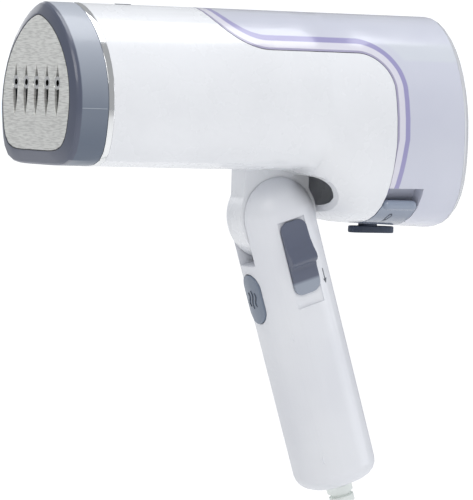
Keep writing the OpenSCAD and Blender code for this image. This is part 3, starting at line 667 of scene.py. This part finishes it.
def printed_mark(name: str, strokes: Sequence[Stroke], place: Matrix, target: bpy.types.Object,
                 thickness: float) -> bpy.types.Object:
    """Thin raised mark laid on a curved surface.

    Args:
        name: The piece's name.
        strokes: For each stroke its line, its width along that line, and its number of steps.
        place: Frame of the mark: X and Y in its plane, and Z towards the surface.
        target: The surface that it lies on.
        thickness: How far it stands out.

    Returns:
        The mark, not yet settled.
    """
    parts = []
    for line, width, steps in strokes:
        bpy.ops.object.select_all(action="DESELECT")
        bpy.ops.mesh.primitive_grid_add(x_subdivisions=steps, y_subdivisions=2, size=1)
        part = bpy.context.view_layer.objects.active
        for vertex in part.data.vertices:
            t = vertex.co.x + 0.5
            here, ahead = Vector(line(t)), Vector(line(t + 0.01)) - Vector(line(t - 0.01))
            across = Vector((-ahead.y, ahead.x)).normalized() * width(t) * vertex.co.y
            vertex.co = place @ Vector((here.x + across.x, here.y + across.y, 0))
        part.matrix_world = Matrix.Identity(4)
        parts.append(part)
    only(parts[0])
    for part in parts[1:]:
        part.select_set(True)
    bpy.ops.object.join()
    mark = bpy.context.view_layer.objects.active
    mark.name = name
    inward = (place.to_3x3() @ Vector((0, 0, 1))).normalized()
    for vertex in mark.data.vertices:
        hit, where, _, _ = target.ray_cast(vertex.co - inward * 0.02, inward)
        if hit:
            vertex.co = where - inward * thickness * 0.6
    apply_modifier(mark, "SOLIDIFY", thickness=thickness, offset=0)
    bpy.ops.object.mode_set(mode="EDIT")
    bpy.ops.mesh.select_all(action="SELECT")
    bpy.ops.mesh.normals_make_consistent(inside=False)
    bpy.ops.object.mode_set(mode="OBJECT")
    return mark


# ---- Studio ----


@dataclass
class Studio:
    """Camera, floor and soft light round the object."""

    azimuth: float = math.radians(-29)
    elevation: float = math.radians(2.2)
    roll: float = math.radians(1.9)
    distance: float = 2.0295
    lens: float = 324.0
    aside: float = 35 / 4500
    above: float = 35 / 4500
    floor_gap: float = 4 * MM

    def camera(self) -> None:
        """Places the camera so that the fold pivot lies right of and above the middle."""
        flat = math.cos(self.elevation)
        ahead = Vector((math.sin(self.azimuth), -math.cos(self.azimuth), 0.0))
        back = ahead * flat + Vector((0.0, 0.0, math.sin(self.elevation)))
        level = (-back).cross(Vector((0, 0, 1))).normalized()
        rise = level.cross(-back)
        right = level * math.cos(self.roll) + rise * math.sin(self.roll)
        up = rise * math.cos(self.roll) - level * math.sin(self.roll)
        bpy.ops.object.camera_add()
        camera = bpy.context.view_layer.objects.active
        camera.name = "photo_camera"
        camera.data.lens = self.lens
        camera.data.clip_end = 60
        turned = Matrix((right, up, back)).transposed().to_4x4()
        place = PIVOT + (back - right * self.aside - up * self.above) * self.distance
        camera.matrix_world = Matrix.Translation(place) @ turned
        bpy.context.scene.camera = camera

    def soft_light(self, name: str, place: Vector, size: float, power: float, tint: Colour) -> None:
        """Adds a square soft light that faces the barrel."""
        bpy.ops.object.light_add(type="AREA", location=place)
        light = bpy.context.view_layer.objects.active
        light.name = name
        light.rotation_euler = (PIVOT - place).to_track_quat("-Z", "Y").to_euler()
        light.data.size = size
        light.data.energy = power
        light.data.color = rgba(tint)[:3]

    def floor(self, level: float) -> None:
        """Adds the plain pale floor below the object."""
        bpy.ops.mesh.primitive_plane_add(size=40, location=(0, 0, level))
        plane = bpy.context.view_layer.objects.active
        plane.name = "studio_floor"
        paint = bpy.data.materials.new("pale_floor")
        paint.use_nodes = True
        surface = paint.node_tree.nodes["Principled BSDF"]
        graph = Graph(paint.node_tree)
        seen = graph.node("ShaderNodeLightPath").outputs["Is Camera Ray"]
        surface.inputs["Base Color"].default_value = (0.8, 0.8, 0.8, 1)
        surface.inputs["Roughness"].default_value = 0.9
        surface.inputs["Emission Color"].default_value = (1, 1, 1, 1)
        graph.feed(surface.inputs["Emission Strength"], graph.math("MULTIPLY_ADD", seen, 0.55, 0.2))
        plane.data.materials.append(paint)

    def build(self) -> None:
        """Makes the camera, the world, the floor and the lights."""
        self.camera()
        scene = bpy.context.scene
        scene.view_settings.view_transform = "Standard"
        world = bpy.data.worlds.new("studio_world")
        world.use_nodes = True
        graph = Graph(world.node_tree)
        sky = world.node_tree.nodes["Background"]
        seen = graph.node("ShaderNodeLightPath").outputs["Is Camera Ray"]
        graph.feed(sky.inputs["Color"], (0.96, 0.975, 1.0, 1.0))
        graph.feed(sky.inputs["Strength"], graph.math("MULTIPLY_ADD", seen, 0.67, 0.43))
        scene.world = world
        self.floor(CAD_BOX[0].z - self.floor_gap)
        self.soft_light("key_softbox", Vector((-0.9, -1.5, 1.7)), 1.3, 20, (255, 253, 250))
        self.soft_light("top_softbox", Vector((0.3, 0.1, 1.9)), 1.2, 15, (250, 252, 255))
        self.soft_light("side_softbox", Vector((1.9, -1.0, 0.3)), 1.2, 9, (248, 250, 255))
        self.soft_light("back_softbox", Vector((-0.3, 1.9, 0.9)), 1.4, 9, (255, 255, 255))


# ---- Mains cord ----


@dataclass
class MainsCord:
    """The cord: a lead from the strain relief, a tied coil, and a tail to the plug."""

    diameter: float = 6.4 * MM
    length: float = 1.82
    coil_centre: tuple[float, float] = (22 * MM, -175 * MM)
    coil_r: float = 38 * MM
    turns: int = 7
    knots_per_turn: int = 18
    settled_share: float = 0.2

    def lead_route(self) -> list[Vector]:
        """Route from the strain relief to the coil."""
        route = [(29.5, -91), (32.6, -100), (36, -110), (39.8, -119.5), (44, -128.6), (48.4, -136.9)]
        return [self.exit()] + [Vector((x, 0, z)) * MM for x, z in route]

    def tail_route(self) -> list[Vector]:
        """Route from the coil down to the plug."""
        route = [(69.2, 5.5, -184), (68.6, 5.2, -193), (67.6, 4.0, -202), (66.8, 2.2, -210),
                 (66.4, 0.6, -217), (66.4, 0, -222.5)]
        return [Vector(place) * MM for place in route]

    def exit(self) -> Vector:
        """Middle of the end of the strain relief."""
        far = (127.5 + 34) * MM
        return PIVOT + Vector((math.sin(LEAN), 0, -math.cos(LEAN))) * far

    def bundle_places(self) -> list[tuple[float, float]]:
        """Places of the turns in the bundle, as distance and angle from its middle.

        Returns:
            One place for each turn and one for the way out, each next to the one before it.
        """
        round_the_middle = [0, -60, -120, 180, 120]
        places = [(self.diameter, math.radians(a)) for a in round_the_middle]
        places += [(0.0, math.radians(90)), (self.diameter, math.radians(60))]
        return places + [(self.diameter * math.sqrt(3), math.radians(30))]

    def offset(self, turn: float) -> tuple[float, float]:
        """Place in the bundle after a number of turns, as outward and backward offsets."""
        places = self.bundle_places()
        index = min(int(turn), len(places) - 2)
        window = (1 - self.settled_share) / self.turns
        start = self.settled_share + window * (self.turns - 1 - index)
        share = min(1.0, max(0.0, (turn - index - start) / window))
        share = share * share * (3 - 2 * share)
        (near_r, near_a), (next_r, next_a) = places[index], places[index + 1]
        near = Vector((near_r * math.cos(near_a), near_r * math.sin(near_a)))
        ahead = Vector((next_r * math.cos(next_a), next_r * math.sin(next_a)))
        mixed = near.lerp(ahead, share)
        return mixed.x, mixed.y

    def coil_route(self) -> list[Vector]:
        """Places along the turns, clockwise from the upper right."""
        total = self.turns + 0.125
        count = round(total * self.knots_per_turn)
        places = []
        for k in range(count + 1):
            turn = total * k / count
            outward, behind = self.offset(turn)
            angle = math.radians(45) - turn * 2 * math.pi
            radius = self.coil_r + outward
            places.append(Vector((self.coil_centre[0] + radius * math.cos(angle), behind,
                                  self.coil_centre[1] + radius * math.sin(angle))))
        return places

    def build(self) -> bpy.types.Object:
        route = self.lead_route() + self.coil_route() + self.tail_route()
        cord = tube("mains_cord", route, self.diameter / 2)
        dress(cord, Finishes.CORD)
        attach(cord, "handle")
        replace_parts(cord, "cord_lead", "cord_coil", "cord_tail")
        plug = refined_copy("plug_body", Finishes.CORD, 40, 0.6 * MM)
        tie = refined_copy("cord_tie", Finishes.BAND, 40, 0.4 * MM)
        pins = FRAME["nodes"]["plug_pins"]
        dress(pins, Finishes.STEEL)
        return cord


# ---- The steamer's own sub-assemblies ----


def arch_outline(half: float, top: float, under: float, steps: int = 14) -> list[tuple[float, float]]:
    """Outline of the steam head's arch section, as (y, z) points round from its top.

    Args:
        half: Half of its width.
        top: Height of its top above the pivot.
        under: Height of its underside above the pivot.
        steps: Points to each stretch.

    Returns:
        The points, right half first.
    """
    high = top - under
    waist, point, power, tuck = 0.64, 1.3, 6, 0.13
    turn = 0.5 ** (1 / power)
    side = []
    for k in range(steps + 1):
        a = math.pi / 2 * k / steps
        side.append((half * math.sin(a) ** point, top - waist * high * (1 - math.cos(a))))
    for k in range(1, steps + 1):
        q = k / steps
        if q < 0.5:
            down = 2 * q * turn
            out = (1 - down**power) ** (1 / power)
        else:
            out = 2 * (1 - q) * turn
            down = (1 - out**power) ** (1 / power)
        side.append((half * out * (1 - tuck * down**1.5), top - high * (waist + (1 - waist) * down)))
    return side + [(-y, z) for y, z in reversed(side[1:-1])]


@dataclass
class SteamHead:
    """Nose cover, soleplate, chrome ring and what is behind them."""

    plate_x: float = 120.5 * MM
    plate_half: float = 32.4 * MM
    plate_top: float = 86 * MM
    plate_under: float = 27 * MM
    side_half: float = 37.5 * MM
    side_from: float = 116.4 * MM
    side_to: float = 104.2 * MM
    side_high: float = 46 * MM

    def plate_line(self) -> None:
        """Thin dark line in the gap round the soleplate."""
        gap = 0.15 * MM
        outline = arch_outline(self.plate_half + gap, self.plate_top + gap, self.plate_under - gap)
        places = [PIVOT + Vector((-self.plate_x + 0.5 * MM, y, z)) for y, z in outline]
        dark_line = tube("plate_dark_line", places, 0.42 * MM, closed=True)
        only(dark_line)
        bpy.ops.object.convert(target="MESH")
        settle(dark_line, "plate_dark_line", "barrel", Finishes.GASKET)

    def parting_lines(self) -> None:
        """Fine parting line on each side of the nose cover: a real crease, coloured light as a painted
        highlight.
        """
        for label, side in (("left", -1), ("right", 1)):
            middle = (self.side_from + self.side_to) / 2
            place = PIVOT + Vector((-middle, side * (self.side_half - 0.02 * MM), self.side_high))
            bpy.ops.mesh.primitive_cube_add(size=1, location=place)
            line = bpy.context.view_layer.objects.active
            line.scale = (self.side_from - self.side_to, 0.16 * MM, 0.32 * MM)
            only(line)
            bpy.ops.object.transform_apply(location=False, rotation=False, scale=True)
            apply_modifier(line, "BEVEL", width=0.05 * MM, segments=2)
            settle(line, "parting_line_highlight_" + label, "barrel", Finishes.PARTING)

    def build(self) -> None:
        """Dresses the CAD pieces and adds the small ones."""
        refined_copy("nose_cover", Finishes.NOSE, 24, 0.35 * MM)
        refined_copy("front_ring", Finishes.CHROME, 24, 0.3 * MM)
        refined_copy("soleplate", Finishes.PLATE, 30, 0.25 * MM)
        self.plate_line()
        self.parting_lines()
        looks = {
            # The dark heater block paints the shade seen through the soleplate slots.
            "steam_nozzles": Finishes.CHROME, "heater_block": Finishes.DARK_CAST,
            "heating_element": Finishes.ELEMENT, "heater_frame": Finishes.CREAM,
            "thermostat": Finishes.STEEL, "thermal_fuse": Finishes.SLEEVE, "heater_screws": Finishes.STEEL,
        }
        for node, finish in looks.items():
            dress(FRAME["nodes"][node], finish)


@dataclass
class Barrel:
    """Body shells and what is inside them."""

    def build(self) -> None:
        """Dresses the shells and the inner pieces."""
        refined_copy("body_shell_left", Finishes.BODY, 26)
        refined_copy("body_shell_right", Finishes.BODY, 26)
        refined_copy("indicator_lens", Finishes.LENS, 40, 0.15 * MM)
        refined_copy("outlet_hose", Finishes.HOSE, 60)
        refined_copy("inlet_hose", Finishes.HOSE, 60)
        looks = {
            "steam_pump": Finishes.BLACK, "control_board": Finishes.BOARD, "tank_spigot": Finishes.FITTING,
            "spigot_seal": Finishes.RUBBER, "body_screws": Finishes.STEEL, "pivot_bush": Finishes.BRASS,
        }
        for node, finish in looks.items():
            dress(FRAME["nodes"][node], finish)


@dataclass
class Tank:
    """Water tank with its end cap, latches, valve and filler plug."""

    drop_high: float = 3.4 * MM
    drop_wide: float = 1.15 * MM

    def drop_icon(self, latch: bpy.types.Object, side: int) -> None:
        """Small water drop on a latch.

        Args:
            latch: The latch that it lies on.
            side: -1 for the left latch, 1 for the right one.
        """

        def line(t: float) -> tuple[float, float]:
            """Closed outline of the drop."""
            a = 2 * math.pi * t
            swell = math.sin(a) * abs(math.sin(a / 2)) ** 1.2
            return self.drop_wide * swell, self.drop_high / 2 * math.cos(a)

        place = BARREL_FRAME @ Matrix.Translation(Vector((47, side * 45, 0.4)) * MM)
        place = place @ Matrix.Rotation(side * math.radians(90), 4, "X")
        icon = printed_mark("drop_icon", [(line, lambda t: 0.4 * MM, 40)], place, latch, 0.14 * MM)
        name = "drop_icon_left" if side < 0 else "drop_icon_right"
        settle(icon, name, "latch_left" if side < 0 else "latch_right", Finishes.ICON)

    def build(self) -> None:
        """Dresses the tank's pieces and adds the icons."""
        refined_copy("tank_shell", Finishes.TANK, 26)
        refined_copy("tank_end_cap", Finishes.END_CAP, 50)
        self.drop_icon(refined_copy("tank_latch_left", Finishes.LATCH, 32), -1)
        self.drop_icon(refined_copy("tank_latch_right", Finishes.LATCH, 32), 1)
        refined_copy("filler_plug", Finishes.RUBBER, 40, 0.5 * MM)
        looks = {
            "tank_valve_seat": Finishes.FITTING, "valve_plunger": Finishes.RUBBER,
            "valve_spring": Finishes.STEEL, "latch_springs": Finishes.STEEL,
        }
        for node, finish in looks.items():
            dress(FRAME["nodes"][node], finish)


@dataclass
class Handle:
    """Handle shells, controls and the electrics in the handle."""

    button_at: float = 34 * MM
    arrow_x: float = 10.4 * MM
    arrow_from: float = 27.5 * MM
    arrow_to: float = 34.5 * MM

    def steam_icon(self, button: bpy.types.Object) -> None:
        """Three rising wisps on the steam button."""

        def wisp(shift: float, high: float) -> Stroke:
            """One wavy stroke."""
            def line(t: float) -> tuple[float, float]:
                """Middle of the stroke."""
                return shift + 0.7 * MM * math.sin(2 * math.pi * t), (t - 0.5) * high
            return line, lambda t: 0.62 * MM * (1 - 0.5 * abs(2 * t - 1) ** 2), 20

        place = HANDLE_FRAME @ Matrix.Translation((-40 * MM, 0, -self.button_at))
        place = place @ Matrix.Rotation(math.radians(90), 4, "Z") @ Matrix.Rotation(math.radians(90), 4, "X")
        facing = place.to_3x3() @ Vector((0, 0, 1))
        if facing.dot(HANDLE_FRAME.to_3x3() @ Vector((1, 0, 0))) < 0:
            place = place @ Matrix.Rotation(math.pi, 4, "Y")
        wisps = [wisp(-2.6 * MM, 6.5 * MM), wisp(0, 8.5 * MM), wisp(2.6 * MM, 6.5 * MM)]
        icon = printed_mark("steam_icon", wisps, place, button, 0.25 * MM)
        settle(icon, "steam_icon", "button", Finishes.ICON)

    def fold_arrow(self, shell: bpy.types.Object) -> None:
        """Plain arrow beside the slider that points the way it moves."""
        long = self.arrow_to - self.arrow_from
        head = 2.2 * MM

        def shaft(t: float) -> tuple[float, float]:
            """Middle of the shaft."""
            return 0.0, -(long - head) * t

        def tip(t: float) -> tuple[float, float]:
            """Middle of the head."""
            return 0.0, -(long - head) - head * t

        strokes = [(shaft, lambda t: 0.5 * MM, 10), (tip, lambda t: 2.1 * MM * (1.02 - min(1.0, t)), 8)]
        place = HANDLE_FRAME @ Matrix.Translation((self.arrow_x, -40 * MM, -self.arrow_from))
        place = place @ Matrix.Rotation(math.radians(-90), 4, "X") @ Matrix.Scale(-1, 4, (0, 1, 0))
        arrow = printed_mark("fold_arrow", strokes, place, shell, 0.12 * MM)
        settle(arrow, "fold_arrow", "handle", Finishes.ARROW)

    def build(self) -> None:
        """Dresses the handle's pieces and adds the marks."""
        shell = refined_copy("handle_shell_left", Finishes.HANDLE, 26)
        refined_copy("handle_shell_right", Finishes.HANDLE, 26)
        self.fold_arrow(shell)
        refined_copy("fold_slider", Finishes.SLIDER, 34, 0.45 * MM)
        self.steam_icon(refined_copy("steam_button", Finishes.BUTTON, 34, 0.4 * MM))
        refined_copy("strain_relief", Finishes.RELIEF, 34, 0.3 * MM)
        refined_copy("handle_wires", Finishes.WIRE, 60)
        looks = {
            "pivot_pin": Finishes.STEEL, "ear_bushes": Finishes.BRASS, "lock_pawl": Finishes.STEEL,
            "slider_spring": Finishes.STEEL, "button_spring": Finishes.STEEL, "micro_switch": Finishes.BLACK,
            "handle_board": Finishes.BOARD, "wire_terminal": Finishes.CREAM,
            "handle_screws": Finishes.STEEL, "cord_clamp": Finishes.CREAM,
        }
        for node, finish in looks.items():
            dress(FRAME["nodes"][node], finish)


def main() -> None:
    """Builds the studio, the cord and each sub-assembly in order."""
    logging.basicConfig(level=logging.INFO, format="%(message)s")
    Studio().build()
    for part in (MainsCord(), SteamHead(), Barrel(), Tank(), Handle()):
        part.build()
        LOG.info("built %s", type(part).__name__)


if __name__ == "__main__":
    main()
